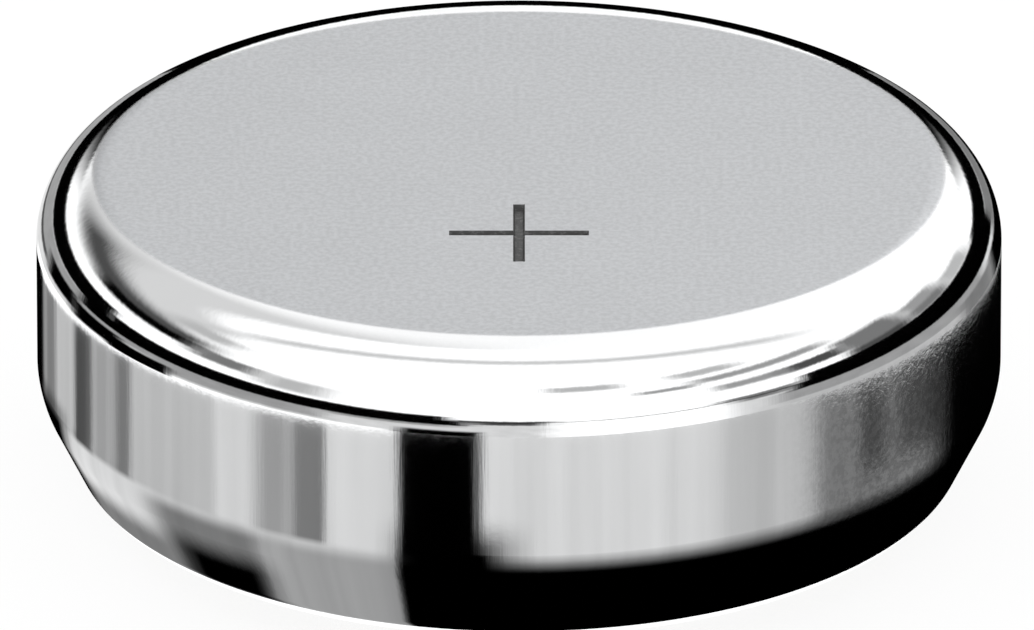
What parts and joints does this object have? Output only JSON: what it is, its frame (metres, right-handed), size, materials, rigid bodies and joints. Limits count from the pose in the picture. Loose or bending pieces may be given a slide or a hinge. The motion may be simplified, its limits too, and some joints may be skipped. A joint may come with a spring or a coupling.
{
  "type": "silver oxide button cell",
  "caption": "Small round button cell: stepped steel can with a plus mark, crimped over a nylon seal onto a flat negative cap, with the cell stack inside.",
  "frame": {"origin": "centre of the flat outer face of the negative cap, on which the cell stands", "axes": "+Z along the cell's axis towards the positive face, +X to the right and +Y away from the viewer with the plus mark nearest the viewer"},
  "size_m": [0.0058, 0.0058, 0.0021],
  "materials": {
    "nickel_can": "polished nickel plating, with a satin positive face",
    "nickel_cap": "bright nickel",
    "nylon_seal": "natural nylon",
    "silver_oxide": "pressed powder",
    "support_steel": "plated steel strip",
    "separator_film": "cellulose film",
    "felt": "wet felt",
    "zinc_gel": "powder in gel"
  },
  "bodies": {
    "root": {"positive_can": "nickel_can", "negative_cap": "nickel_cap", "sealing_gasket": "nylon_seal", "cathode_pellet": "silver_oxide", "cathode_ring": "support_steel", "barrier_membrane": "separator_film", "absorbent_pad": "felt", "zinc_anode": "zinc_gel"}
  },
  "joints": []
}
